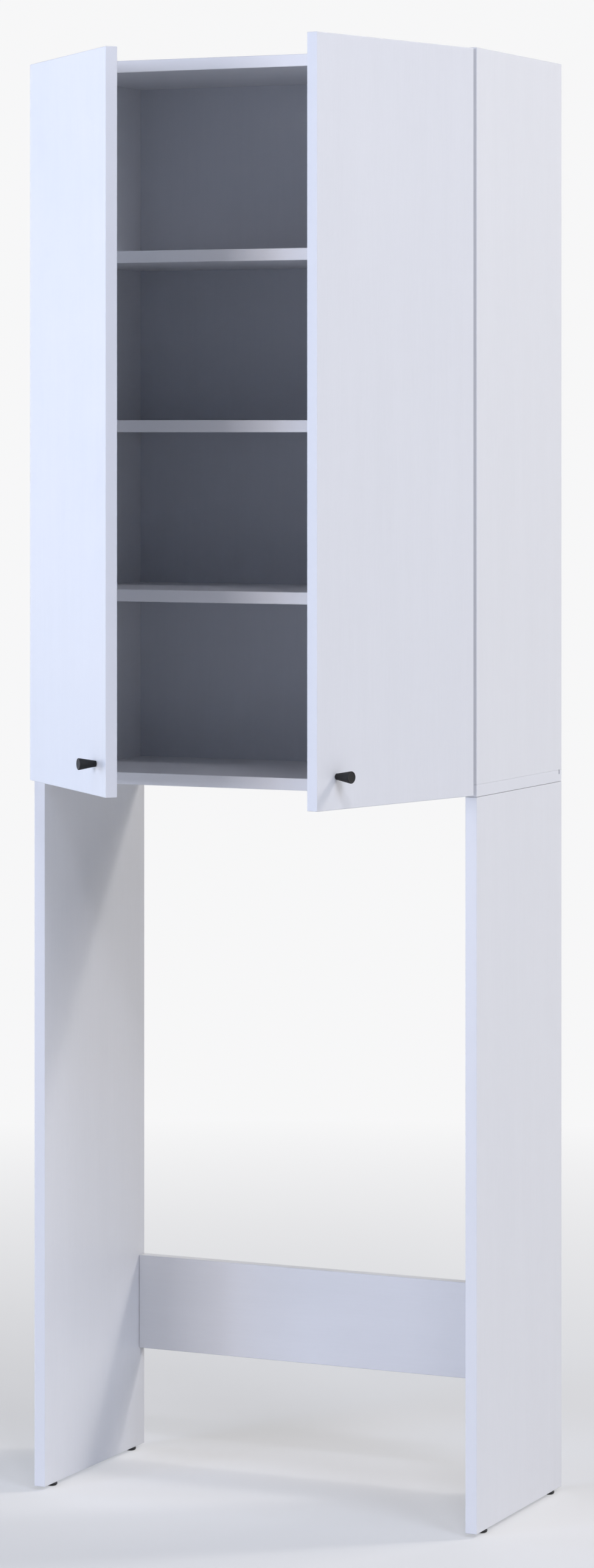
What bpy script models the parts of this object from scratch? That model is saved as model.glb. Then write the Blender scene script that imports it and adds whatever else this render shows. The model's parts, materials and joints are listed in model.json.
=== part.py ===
"""Tall cabinet that stands over a washing machine: a two-door cupboard on two long leg panels.

Units are metres and +Z is up. X runs across the cabinet to the right of someone who faces it,
and Y runs from the front to the back. The doors stand open, as they were photographed, and
each hangs on two cup hinges whose pins share one upright axis.
"""

import math

import bmesh
import bpy

# Boards of the cabinet
CABINET_WIDTH = 0.640
CABINET_DEPTH = 0.295
BOARD = 0.016
LEG_HEIGHT = 0.942
SIDE_HEIGHT = 0.942
EDGE_ROUND = 0.0006
JOINT_GAP = 0.0003
OVERRUN = 0.001

# Back panel, held in a groove in the boards round it
BACK_THICKNESS = 0.003
GROOVE_DEPTH = 0.006
GROOVE_FROM_REAR = 0.0075

# Shelves, counted up from the bottom panel
SHELF_NAMES = ("lower", "middle", "upper")
SHELF_BOARD = 0.016
FIRST_SHELF_CLEAR = 0.226
TOP_SHELF_CLEAR = 0.236
SHELF_SETBACK = 0.002

# Rail that ties the leg panels together at the rear
RAIL_THICKNESS = 0.016
RAIL_HEIGHT = 0.129
RAIL_FROM_LEG_END = 0.1355
RAIL_INSET = 0.001

# Nail-in glides under the leg panels
GLIDE_HEIGHT = 0.005
GLIDE_RADIUS = 0.0080
GLIDE_ROUND = 0.0015
GLIDE_FRONT_INSET = 0.034
GLIDE_REAR_INSET = 0.028
GLIDE_NAIL_RADIUS = 0.0011
GLIDE_NAIL_LENGTH = 0.014

# Doors
DOOR_THICKNESS = 0.016
DOOR_SIDE_REVEAL = 0.0025
DOOR_TOP_REVEAL = 0.0015
DOOR_BOTTOM_REVEAL = 0.002
DOOR_CENTRE_GAP = 0.003
DOOR_STANDOFF = 0.0035
RIGHT_DOOR_ANGLE = math.radians(75.3)
LEFT_DOOR_ANGLE = math.radians(44.2)

# Knobs, turned cones that widen away from the door
KNOB_LENGTH = 0.024
KNOB_BASE_RADIUS = 0.0039
KNOB_FRONT_RADIUS = 0.0077
KNOB_FRONT_ROUND = 0.0010
KNOB_FROM_FREE_EDGE = 0.038
KNOB_FROM_DOOR_BOTTOM = 0.041
KNOB_SCREW_RADIUS = 0.0020
KNOB_SCREW_REACH = 0.012
KNOB_SCREW_HEAD_RADIUS = 0.0042
KNOB_SCREW_HEAD_HEIGHT = 0.0022

# Cup hinges
HINGE_FROM_DOOR_END = 0.100
CUP_BORE_RADIUS = 0.0175
CUP_BORE_DEPTH = 0.0125
CUP_BORE_FROM_EDGE = 0.0035
CUP_WALL = 0.0010
CUP_RIM = 0.0018
CUP_FLANGE = 0.0010
CUP_FLOOR_ROUND = 0.0004
FLANGE_SCREW_SPACING = 0.048
FLANGE_SCREW_SHIFT = 0.006
FLANGE_WING_WIDTH = 0.012
FLANGE_WING_LENGTH = 0.062
FLANGE_WING_ROUND = 0.005
FLANGE_WING_SHEET = 0.0008
LUG_WIDTH = 0.0056
LUG_HEIGHT = 0.0055
ARM_WIDTH = 0.0108
ARM_EYE_RADIUS = 0.0022
ARM_NECK = 0.0030
ARM_NECK_CLEAR = 0.0015
ARM_NECK_ROUND = 0.0030
ARM_LENGTH = 0.056
ARM_HEIGHT = 0.0084
ARM_SHEET = 0.0014
ARM_SETBACK = 0.003
ARM_SHOULDER = 0.005
PIN_RADIUS = 0.0011
PIN_LENGTH = 0.0180
PIN_GAP = 0.0002
PLATE_THICKNESS = 0.0025
PLATE_FROM_FRONT = 0.037
PLATE_LENGTH = 0.040
PLATE_NOSE_WIDTH = 0.0096
PLATE_WING_WIDTH = 0.011
PLATE_WING_LENGTH = 0.044
PLATE_SCREW_SPACING = 0.032
PLATE_ROUND = 0.003

# Chipboard screws of the hinges
SCREW_SHANK_RADIUS = 0.0017
SCREW_HEAD_RADIUS = 0.0034
SCREW_HEAD_HEIGHT = 0.0016
SCREW_HEAD_ROUND = 0.0006
SCREW_TIP = 0.0025
SCREW_GRIP = 0.0100

# Facets of round things
CUP_STEPS = 28
KNOB_STEPS = 32
GLIDE_STEPS = 16
PIN_STEPS = 12
SCREW_STEPS = 10
ARC_STEPS = 4
SHARP_ANGLE = math.radians(35)

# Places worked out from the sizes above
HALF_WIDTH = CABINET_WIDTH / 2
HALF_INSIDE = HALF_WIDTH - BOARD
LEG_BASE = GLIDE_HEIGHT
BOTTOM_BASE = LEG_BASE + LEG_HEIGHT
BOTTOM_TOP = BOTTOM_BASE + BOARD
CABINET_TOP = BOTTOM_TOP + SIDE_HEIGHT
TOP_BASE = CABINET_TOP - BOARD
FIRST_SHELF_BASE = BOTTOM_TOP + FIRST_SHELF_CLEAR
LAST_SHELF_BASE = TOP_BASE - TOP_SHELF_CLEAR - SHELF_BOARD
SHELF_PITCH = (LAST_SHELF_BASE - FIRST_SHELF_BASE) / (len(SHELF_NAMES) - 1)
GROOVE_WIDTH = BACK_THICKNESS + 2 * JOINT_GAP
GROOVE_REAR = CABINET_DEPTH - GROOVE_FROM_REAR
GROOVE_FRONT = GROOVE_REAR - GROOVE_WIDTH
BACK_FRONT = GROOVE_FRONT + JOINT_GAP

DOOR_BASE = BOTTOM_BASE + DOOR_BOTTOM_REVEAL
DOOR_HEIGHT = CABINET_TOP - DOOR_TOP_REVEAL - DOOR_BASE
DOOR_WIDTH = HALF_WIDTH - DOOR_SIDE_REVEAL - DOOR_CENTRE_GAP / 2

CUP_RADIUS = CUP_BORE_RADIUS - JOINT_GAP
CUP_INNER_RADIUS = CUP_RADIUS - CUP_WALL
CUP_FLOOR = CUP_BORE_DEPTH - JOINT_GAP - CUP_WALL
CUP_CENTRE = CUP_BORE_FROM_EDGE + CUP_BORE_RADIUS
PIVOT_CHORD = math.sqrt(CUP_INNER_RADIUS ** 2 - (ARM_WIDTH / 2) ** 2)
PIVOT_U = CUP_CENTRE - PIVOT_CHORD + JOINT_GAP + ARM_EYE_RADIUS
PIVOT_V = CUP_FLOOR - JOINT_GAP - ARM_EYE_RADIUS
ARM_BASE = BOARD - DOOR_SIDE_REVEAL + JOINT_GAP + PLATE_THICKNESS + JOINT_GAP
ARM_TOP = ARM_BASE + ARM_HEIGHT

FINISHES = {
    "white_board": ((0.80, 0.81, 0.85), 0.38, 0.0),
    "back_board": ((0.62, 0.63, 0.65), 0.55, 0.0),
    "black_plastic": ((0.030, 0.031, 0.034), 0.45, 0.0),
    "nickel_steel": ((0.66, 0.66, 0.65), 0.28, 1.0),
    "zinc_screw": ((0.60, 0.61, 0.62), 0.35, 1.0),
}


def clear_scene():
    """Remove what the file opens with."""
    for thing in list(bpy.data.objects):
        bpy.data.objects.remove(thing, do_unlink=True)


def collection(name):
    group = bpy.data.collections.new(name)
    bpy.context.scene.collection.children.link(group)
    return group


def finish(name):
    """The plain material of that name, made once."""
    if name in bpy.data.materials:
        return bpy.data.materials[name]
    colour, roughness, metallic = FINISHES[name]
    material = bpy.data.materials.new(name)
    material.use_nodes = True
    shader = material.node_tree.nodes["Principled BSDF"]
    shader.inputs["Base Color"].default_value = (*colour, 1.0)
    shader.inputs["Roughness"].default_value = roughness
    shader.inputs["Metallic"].default_value = metallic
    return material


def place(name, mesh, material, parent, location=(0.0, 0.0, 0.0), rotation=(0.0, 0.0, 0.0)):
    """Put a mesh into the model as the named piece."""
    piece = bpy.data.objects.new(name, mesh)
    piece.location = location
    piece.rotation_euler = rotation
    piece.parent = parent
    mesh.materials.clear()
    mesh.materials.append(finish(material))
    MODEL.objects.link(piece)
    return piece


def as_cutter(piece):
    """Turn a piece into a hidden wire that only cuts or joins."""
    MODEL.objects.unlink(piece)
    CUTTERS.objects.link(piece)
    piece.hide_render = True
    piece.display_type = "WIRE"
    return piece


def box(name, low, high, material, parent):
    """A block between two corners, with its origin at its middle."""
    size = [b - a for a, b in zip(low, high)]
    middle = [(a + b) / 2 for a, b in zip(low, high)]
    shape = bmesh.new()
    bmesh.ops.create_cube(shape, size=1.0)
    bmesh.ops.scale(shape, vec=size, verts=shape.verts)
    mesh = bpy.data.meshes.new(name)
    shape.to_mesh(mesh)
    shape.free()
    return place(name, mesh, material, parent, middle)


def cylinder(name, radius, length, steps, material, parent, location, rotation=(0.0, 0.0, 0.0)):
    """A round bar about its own Z, with its origin at its middle."""
    shape = bmesh.new()
    bmesh.ops.create_cone(shape, cap_ends=True, segments=steps, radius1=radius, radius2=radius,
                          depth=length)
    mesh = bpy.data.meshes.new(name)
    shape.to_mesh(mesh)
    shape.free()
    shade_round(mesh)
    return place(name, mesh, material, parent, location, rotation)


def turned(name, profile, steps, material, parent, location, rotation=(0.0, 0.0, 0.0)):
    """Spin a profile of (radius, height) points, listed from top to bottom, about its own Z."""
    mesh = bpy.data.meshes.new(name)
    points = [(radius, 0.0, height) for radius, height in profile]
    mesh.from_pydata(points, [(i, i + 1) for i in range(len(points) - 1)], [])
    piece = place(name, mesh, material, parent, location, rotation)
    spin = piece.modifiers.new("Spin", "SCREW")
    spin.steps = steps
    spin.render_steps = steps
    spin.use_merge_vertices = True
    spin.merge_threshold = 0.00001
    settled(piece)
    shade_round(piece.data)
    return piece


def shade_round(mesh):
    """Shade the curved faces smooth and keep the rims sharp."""
    mesh.shade_smooth()
    mesh.set_sharp_from_angle(angle=SHARP_ANGLE)


def settled(piece):
    """Apply a piece's modifiers to its mesh."""
    graph = bpy.context.evaluated_depsgraph_get()
    mesh = bpy.data.meshes.new_from_object(piece.evaluated_get(graph))
    piece.modifiers.clear()
    piece.data = mesh
    return piece


def slab(name, outline, thickness, material, parent, location, rotation=(0.0, 0.0, 0.0)):
    """A flat outline in its own XY plane, made as thick as asked about that plane."""
    curve = bpy.data.curves.new(name, "CURVE")
    curve.dimensions = "2D"
    curve.fill_mode = "BOTH"
    curve.extrude = thickness / 2
    spline = curve.splines.new("POLY")
    spline.points.add(len(outline) - 1)
    for point, (x, y) in zip(spline.points, outline):
        point.co = (x, y, 0.0, 1.0)
    spline.use_cyclic_u = True
    guide = bpy.data.objects.new(name + "_outline", curve)
    CUTTERS.objects.link(guide)
    graph = bpy.context.evaluated_depsgraph_get()
    mesh = bpy.data.meshes.new_from_object(guide.evaluated_get(graph))
    bpy.data.objects.remove(guide, do_unlink=True)
    shape = bmesh.new()
    shape.from_mesh(mesh)
    bmesh.ops.remove_doubles(shape, verts=shape.verts, dist=0.000001)
    bmesh.ops.recalc_face_normals(shape, faces=shape.faces)
    shape.to_mesh(mesh)
    shape.free()
    return place(name, mesh, material, parent, location, rotation)


def rounded(corners):
    """Points of an outline whose corners, given as (x, y, radius), are rounded off with arcs."""
    points = []
    count = len(corners)
    for i, (x, y, radius) in enumerate(corners):
        if radius <= 0.0:
            points.append((x, y))
            continue
        before = corners[i - 1]
        after = corners[(i + 1) % count]
        angle_in = math.atan2(before[1] - y, before[0] - x)
        angle_out = math.atan2(after[1] - y, after[0] - x)
        turn = (angle_out - angle_in + math.pi) % (2 * math.pi) - math.pi
        middle = angle_in + turn / 2
        reach = radius / math.sin(abs(turn) / 2)
        centre_x = x + reach * math.cos(middle)
        centre_y = y + reach * math.sin(middle)
        side = math.copysign(1.0, turn)
        start = angle_in - side * math.pi / 2
        sweep = side * (math.pi - abs(turn))
        for step in range(ARC_STEPS + 1):
            angle = start - sweep * step / ARC_STEPS
            points.append((centre_x + radius * math.cos(angle), centre_y + radius * math.sin(angle)))
    return points


def soften(piece, width=EDGE_ROUND):
    """Take the sharp arris off a piece's edges."""
    arris = piece.modifiers.new("Arris", "BEVEL")
    arris.width = width
    arris.segments = 1
    arris.limit_method = "ANGLE"


def combine(piece, tool, operation):
    """Cut a tool out of a piece, or join it on."""
    change = piece.modifiers.new(tool.name, "BOOLEAN")
    change.operation = operation
    change.solver = "EXACT"
    change.object = as_cutter(tool)


def board(name, low, high, parent, material="white_board"):
    panel = box(name, low, high, material, parent)
    soften(panel)
    return panel


def from_axis(door_side, u, v, z):
    """A place in a closed door, as seen from its hinge pin.

    u runs from the door's hinged edge towards its free edge, and v from its inner face towards
    its front. Right-hand parts have door_side 1 and left-hand parts have -1.
    """
    return (-door_side * (u - PIVOT_U), -(v - PIVOT_V), z)


def to_cabinet(door_side, u, v, z):
    """The same place of the closed door, in the cabinet."""
    x = door_side * (HALF_WIDTH - DOOR_SIDE_REVEAL - u)
    return (x, -DOOR_STANDOFF - v, z)


def open_corner(door_side, angle, u, v):
    """Where a point of the door's plan stands in the cabinet once the door is open."""
    pin_x, pin_y, _ = to_cabinet(door_side, PIVOT_U, PIVOT_V, 0.0)
    x, y, _ = from_axis(door_side, u, v, 0.0)
    turn = door_side * angle
    return (pin_x + x * math.cos(turn) - y * math.sin(turn),
            pin_y + x * math.sin(turn) + y * math.cos(turn))


def plan_middle():
    """The middle of the box round the whole cabinet, with its doors as they stand."""
    xs = [-HALF_WIDTH, HALF_WIDTH]
    ys = [0.0, CABINET_DEPTH]
    for door_side, angle in ((1, RIGHT_DOOR_ANGLE), (-1, LEFT_DOOR_ANGLE)):
        for u, inward in ((0.0, 1), (DOOR_WIDTH, -1)):
            for v, deeper in ((0.0, 1), (DOOR_THICKNESS, -1)):
                for du, dv in ((EDGE_ROUND, 0.0), (0.0, EDGE_ROUND)):
                    x, y = open_corner(door_side, angle, u + inward * du, v + deeper * dv)
                    xs.append(x)
                    ys.append(y)
    return ((min(xs) + max(xs)) / 2, (min(ys) + max(ys)) / 2)


def make_carcass(root):
    """Every fixed board of the cabinet, and the glides it stands on."""
    boards = {}
    for side, hand in ((1, "right"), (-1, "left")):
        inner, outer = sorted((side * HALF_INSIDE, side * HALF_WIDTH))
        boards[hand] = board("side_panel_" + hand, (inner, 0.0, BOTTOM_TOP + JOINT_GAP),
                             (outer, CABINET_DEPTH, CABINET_TOP), root)
        leg = board("leg_panel_" + hand, (inner, 0.0, LEG_BASE),
                    (outer, CABINET_DEPTH, BOTTOM_BASE - JOINT_GAP), root)
        make_glides(leg, side, hand, root)
    fit = HALF_INSIDE - JOINT_GAP
    boards["bottom"] = board("bottom_panel", (-HALF_WIDTH, 0.0, BOTTOM_BASE),
                             (HALF_WIDTH, CABINET_DEPTH, BOTTOM_TOP), root)
    boards["top"] = board("top_panel", (-fit, 0.0, TOP_BASE), (fit, CABINET_DEPTH, CABINET_TOP), root)
    cut_grooves(boards, root)
    reach = HALF_INSIDE + GROOVE_DEPTH - JOINT_GAP
    box("back_panel", (-reach, BACK_FRONT, BOTTOM_TOP - GROOVE_DEPTH + JOINT_GAP),
        (reach, BACK_FRONT + BACK_THICKNESS, TOP_BASE + GROOVE_DEPTH - JOINT_GAP), "back_board", root)
    for level, word in enumerate(SHELF_NAMES):
        base = FIRST_SHELF_BASE + level * SHELF_PITCH
        board("shelf_" + word, (-fit, SHELF_SETBACK, base),
              (fit, BACK_FRONT - JOINT_GAP, base + SHELF_BOARD), root)
    rail_rear = CABINET_DEPTH - RAIL_INSET
    rail_base = LEG_BASE + RAIL_FROM_LEG_END
    board("rear_rail", (-fit, rail_rear - RAIL_THICKNESS, rail_base),
          (fit, rail_rear, rail_base + RAIL_HEIGHT), root)
    return boards


def cut_grooves(boards, root):
    """The saw groove that holds the back panel, run through the length of each board."""
    low_y = GROOVE_FRONT
    high_y = GROOVE_REAR
    for side, hand in ((1, "right"), (-1, "left")):
        near, far = sorted((side * (HALF_INSIDE - OVERRUN), side * (HALF_INSIDE + GROOVE_DEPTH)))
        groove = box("groove_" + hand, (near, low_y, BOTTOM_TOP - OVERRUN),
                     (far, high_y, CABINET_TOP + OVERRUN), "white_board", root)
        combine(boards[hand], groove, "DIFFERENCE")
    wide = HALF_WIDTH + OVERRUN
    groove = box("groove_bottom", (-wide, low_y, BOTTOM_TOP - GROOVE_DEPTH),
                 (wide, high_y, BOTTOM_TOP + OVERRUN), "white_board", root)
    combine(boards["bottom"], groove, "DIFFERENCE")
    groove = box("groove_top", (-wide, low_y, TOP_BASE - OVERRUN),
                 (wide, high_y, TOP_BASE + GROOVE_DEPTH), "white_board", root)
    combine(boards["top"], groove, "DIFFERENCE")


def make_glides(leg, side, hand, root):
    """Two domed glides, each with its nail driven up into the leg panel."""
    middle = side * (HALF_WIDTH - BOARD / 2)
    crown = GLIDE_HEIGHT - JOINT_GAP
    profile = [
        (0.0, GLIDE_HEIGHT + GLIDE_NAIL_LENGTH),
        (GLIDE_NAIL_RADIUS, GLIDE_HEIGHT + GLIDE_NAIL_LENGTH - GLIDE_NAIL_RADIUS),
        (GLIDE_NAIL_RADIUS, crown),
        (GLIDE_RADIUS, crown),
        (GLIDE_RADIUS, GLIDE_ROUND),
        (GLIDE_RADIUS - GLIDE_ROUND * (1 - math.sqrt(0.5)), GLIDE_ROUND * (1 - math.sqrt(0.5))),
        (GLIDE_RADIUS - GLIDE_ROUND, 0.0),
        (0.0, 0.0),
    ]
    hole_length = GLIDE_NAIL_LENGTH + 2 * JOINT_GAP + OVERRUN
    for place_word, y in (("front", GLIDE_FRONT_INSET), ("rear", CABINET_DEPTH - GLIDE_REAR_INSET)):
        turned(f"glide_{hand}_{place_word}", profile, GLIDE_STEPS, "black_plastic", root,
               (middle, y, 0.0))
        hole = cylinder(f"nail_hole_{hand}_{place_word}", GLIDE_NAIL_RADIUS + JOINT_GAP, hole_length,
                        PIN_STEPS, "white_board", root,
                        (middle, y, LEG_BASE - OVERRUN + hole_length / 2))
        combine(leg, hole, "DIFFERENCE")


def screw_profile(length, shank, head_radius, head_height):
    """A pan head above z = 0 and a pointed shank below it."""
    return [
        (0.0, head_height),
        (head_radius - SCREW_HEAD_ROUND, head_height),
        (head_radius, head_height - SCREW_HEAD_ROUND),
        (head_radius, 0.0),
        (shank, 0.0),
        (shank, SCREW_TIP - length),
        (0.0, -length),
    ]


def make_screw(name, length, material, parent, location, rotation):
    profile = screw_profile(length, SCREW_SHANK_RADIUS, SCREW_HEAD_RADIUS, SCREW_HEAD_HEIGHT)
    return turned(name, profile, SCREW_STEPS, material, parent, location, rotation)


def pilot_hole(name, target, length, parent, location, rotation):
    """A clear hole for a screw, as long as asked on both sides of the place given."""
    hole = cylinder(name, SCREW_SHANK_RADIUS + JOINT_GAP, 2 * length, SCREW_STEPS, "zinc_screw", parent,
                    location, rotation)
    combine(target, hole, "DIFFERENCE")


def make_door(hand, door_side, angle, root):
    """A door, its knob and the cups let into it, all carried by an empty on the hinge pins."""
    pin_x, pin_y, _ = to_cabinet(door_side, PIVOT_U, PIVOT_V, 0.0)
    axis = bpy.data.objects.new(f"door_{hand}_axis", None)
    axis.location = (pin_x, pin_y, 0.0)
    axis.rotation_euler = (0.0, 0.0, door_side * angle)
    axis.parent = root
    MODEL.objects.link(axis)
    corner_a = from_axis(door_side, 0.0, 0.0, DOOR_BASE)
    corner_b = from_axis(door_side, DOOR_WIDTH, DOOR_THICKNESS, DOOR_BASE + DOOR_HEIGHT)
    low = [min(a, b) for a, b in zip(corner_a, corner_b)]
    high = [max(a, b) for a, b in zip(corner_a, corner_b)]
    door = board("door_" + hand, low, high, axis)
    make_knob(door, hand, door_side, axis)
    for word, z in (("lower", DOOR_BASE + HINGE_FROM_DOOR_END),
                    ("upper", DOOR_BASE + DOOR_HEIGHT - HINGE_FROM_DOOR_END)):
        make_cup(f"hinge_{word}_{hand}", door, door_side, z, axis)


def make_knob(door, hand, door_side, axis):
    """A knob on the front of the door, and the screw that holds it from behind."""
    facing = (math.pi / 2, 0.0, 0.0)
    u = DOOR_WIDTH - KNOB_FROM_FREE_EDGE
    z = DOOR_BASE + KNOB_FROM_DOOR_BOTTOM
    bore = KNOB_SCREW_RADIUS + JOINT_GAP
    bore_end = KNOB_SCREW_REACH + JOINT_GAP
    profile = [
        (0.0, KNOB_LENGTH),
        (KNOB_FRONT_RADIUS - KNOB_FRONT_ROUND, KNOB_LENGTH),
        (KNOB_FRONT_RADIUS - KNOB_FRONT_ROUND * (1 - math.sqrt(0.5)),
         KNOB_LENGTH - KNOB_FRONT_ROUND * (1 - math.sqrt(0.5))),
        (KNOB_FRONT_RADIUS, KNOB_LENGTH - KNOB_FRONT_ROUND),
        (KNOB_BASE_RADIUS, JOINT_GAP),
        (bore, JOINT_GAP),
        (bore, bore_end),
        (0.0, bore_end),
    ]
    turned("knob_" + hand, profile, KNOB_STEPS, "black_plastic", axis,
           from_axis(door_side, u, DOOR_THICKNESS, z), facing)
    length = DOOR_THICKNESS + JOINT_GAP + KNOB_SCREW_REACH
    screw = screw_profile(length, KNOB_SCREW_RADIUS, KNOB_SCREW_HEAD_RADIUS, KNOB_SCREW_HEAD_HEIGHT)
    turned("knob_screw_" + hand, screw, PIN_STEPS, "zinc_screw", axis,
           from_axis(door_side, u, -JOINT_GAP, z), (-math.pi / 2, 0.0, 0.0))
    hole = cylinder("knob_hole_" + hand, bore, DOOR_THICKNESS + 2 * OVERRUN, PIN_STEPS, "white_board",
                    axis, from_axis(door_side, u, DOOR_THICKNESS / 2, z), facing)
    combine(door, hole, "DIFFERENCE")


def make_cup(name, door, door_side, z, axis):
    """A hinge cup let into the door, with its flange, its pin, and the screws that hold it."""
    inward = (-math.pi / 2, 0.0, 0.0)
    seat = -JOINT_GAP
    bore = cylinder(name + "_bore", CUP_BORE_RADIUS, CUP_BORE_DEPTH + OVERRUN, CUP_STEPS, "white_board",
                    axis, from_axis(door_side, CUP_CENTRE, (CUP_BORE_DEPTH - OVERRUN) / 2, z), inward)
    combine(door, bore, "DIFFERENCE")
    deep = CUP_FLOOR + CUP_WALL
    high = JOINT_GAP + CUP_FLANGE / 2
    cup = cylinder(name + "_cup", CUP_RADIUS, deep + high, CUP_STEPS, "nickel_steel", axis,
                   from_axis(door_side, CUP_CENTRE, (deep - high) / 2, z), inward)
    soften(cup, CUP_FLOOR_ROUND)
    join_flange(name, cup, door_side, z, axis, inward)
    join_lugs(name, cup, door_side, z, axis)
    pin_hole = cylinder(name + "_pin_hole", PIN_RADIUS + PIN_GAP, PIN_LENGTH + 2 * JOINT_GAP,
                        PIN_STEPS, "nickel_steel", axis, (0.0, 0.0, z))
    combine(cup, pin_hole, "DIFFERENCE")
    u = CUP_CENTRE + FLANGE_SCREW_SHIFT
    head_seat = seat - CUP_FLANGE - JOINT_GAP
    for word, up in (("top", 1), ("bottom", -1)):
        height = z + up * FLANGE_SCREW_SPACING / 2
        place_at = from_axis(door_side, u, head_seat, height)
        make_screw(f"{name}_cup_screw_{word}", SCREW_GRIP, "zinc_screw", axis, place_at, inward)
        pilot_hole(f"{name}_flange_hole_{word}", cup, OVERRUN + CUP_FLANGE, axis, place_at, inward)
        pilot_hole(f"{name}_cup_pilot_{word}", door, SCREW_GRIP + JOINT_GAP, axis, place_at, inward)


def join_flange(name, cup, door_side, z, axis, inward):
    """The two-winged flange that lies on the door round the cup's mouth."""
    half_width = FLANGE_WING_WIDTH / 2
    half_length = FLANGE_WING_LENGTH / 2
    wing = rounded([
        (-half_width, -half_length, FLANGE_WING_ROUND),
        (half_width, -half_length, FLANGE_WING_ROUND),
        (half_width, half_length, FLANGE_WING_ROUND),
        (-half_width, half_length, FLANGE_WING_ROUND),
    ])
    mid_v = -JOINT_GAP - CUP_FLANGE / 2
    rim = cylinder(name + "_rim", CUP_RADIUS + CUP_RIM, CUP_FLANGE, CUP_STEPS, "nickel_steel", axis,
                   from_axis(door_side, CUP_CENTRE, mid_v, z), inward)
    combine(cup, rim, "UNION")
    flange = slab(name + "_flange", wing, FLANGE_WING_SHEET, "nickel_steel", axis,
                  from_axis(door_side, CUP_CENTRE + FLANGE_SCREW_SHIFT, mid_v, z), inward)
    combine(cup, flange, "UNION")
    clear = CUP_FLOOR + JOINT_GAP + CUP_FLANGE + OVERRUN
    mouth = cylinder(name + "_mouth", CUP_INNER_RADIUS, clear, CUP_STEPS, "nickel_steel", axis,
                     from_axis(door_side, CUP_CENTRE, CUP_FLOOR - clear / 2, z), inward)
    combine(cup, mouth, "DIFFERENCE")


def join_lugs(name, cup, door_side, z, axis):
    """Two lugs on the cup's floor, one on each side of the arm, that carry the pin."""
    near = ARM_WIDTH / 2 + JOINT_GAP
    reach = ARM_EYE_RADIUS + CUP_WALL
    base_v = CUP_FLOOR + CUP_WALL / 2
    for word, up in (("top", 1), ("bottom", -1)):
        corner_a = from_axis(door_side, PIVOT_U - reach, base_v, z + up * near)
        corner_b = from_axis(door_side, PIVOT_U + reach, base_v - LUG_HEIGHT, z + up * (near + LUG_WIDTH))
        low = [min(a, b) for a, b in zip(corner_a, corner_b)]
        high = [max(a, b) for a, b in zip(corner_a, corner_b)]
        lug = box(f"{name}_lug_{word}", low, high, "nickel_steel", axis)
        keep = cylinder(f"{name}_lug_keep_{word}", CUP_RADIUS - CUP_WALL / 2, CUP_BORE_DEPTH, CUP_STEPS,
                        "nickel_steel", axis,
                        from_axis(door_side, CUP_CENTRE, CUP_BORE_DEPTH / 2, z), (-math.pi / 2, 0.0, 0.0))
        combine(lug, keep, "INTERSECT")
        combine(cup, lug, "UNION")


def arm_outline():
    """The side view of a hinge arm, in the closed door's (u, v).

    From the eye in the cup it runs along the cup's floor, turns back past the door's edge at
    any angle, and widens into the channel that sits on the mounting plate.
    """
    neck_low = PIVOT_U + PIVOT_V + JOINT_GAP + CUP_FLANGE + ARM_NECK_CLEAR
    neck_high = neck_low + ARM_NECK
    eye_top = PIVOT_V + ARM_EYE_RADIUS
    bar_low = eye_top - ARM_NECK
    shoulder = -DOOR_STANDOFF - ARM_SETBACK
    tail = shoulder - ARM_LENGTH
    start = math.pi / 2
    low_angle = math.asin((bar_low - PIVOT_V) / ARM_EYE_RADIUS)
    points = rounded([
        (PIVOT_U + ARM_EYE_RADIUS * math.cos(low_angle), bar_low, 0.0),
        (neck_low, bar_low, ARM_NECK_ROUND / 2),
        (neck_low, shoulder + ARM_SHOULDER / 2, 0.0),
        (ARM_BASE, shoulder, 0.0),
        (ARM_BASE, tail, 0.0),
        (ARM_TOP, tail, ARM_NECK_ROUND),
        (ARM_TOP, shoulder - ARM_SHOULDER, ARM_NECK_ROUND),
        (neck_high, shoulder + ARM_SHOULDER, ARM_NECK_ROUND),
        (neck_high, eye_top, ARM_NECK_ROUND),
        (PIVOT_U, eye_top, 0.0),
    ])
    sweep = 2 * math.pi + low_angle - start
    steps = 3 * ARC_STEPS
    for step in range(1, steps):
        angle = start + sweep * step / steps
        points.append((PIVOT_U + ARM_EYE_RADIUS * math.cos(angle),
                       PIVOT_V + ARM_EYE_RADIUS * math.sin(angle)))
    return points


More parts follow.
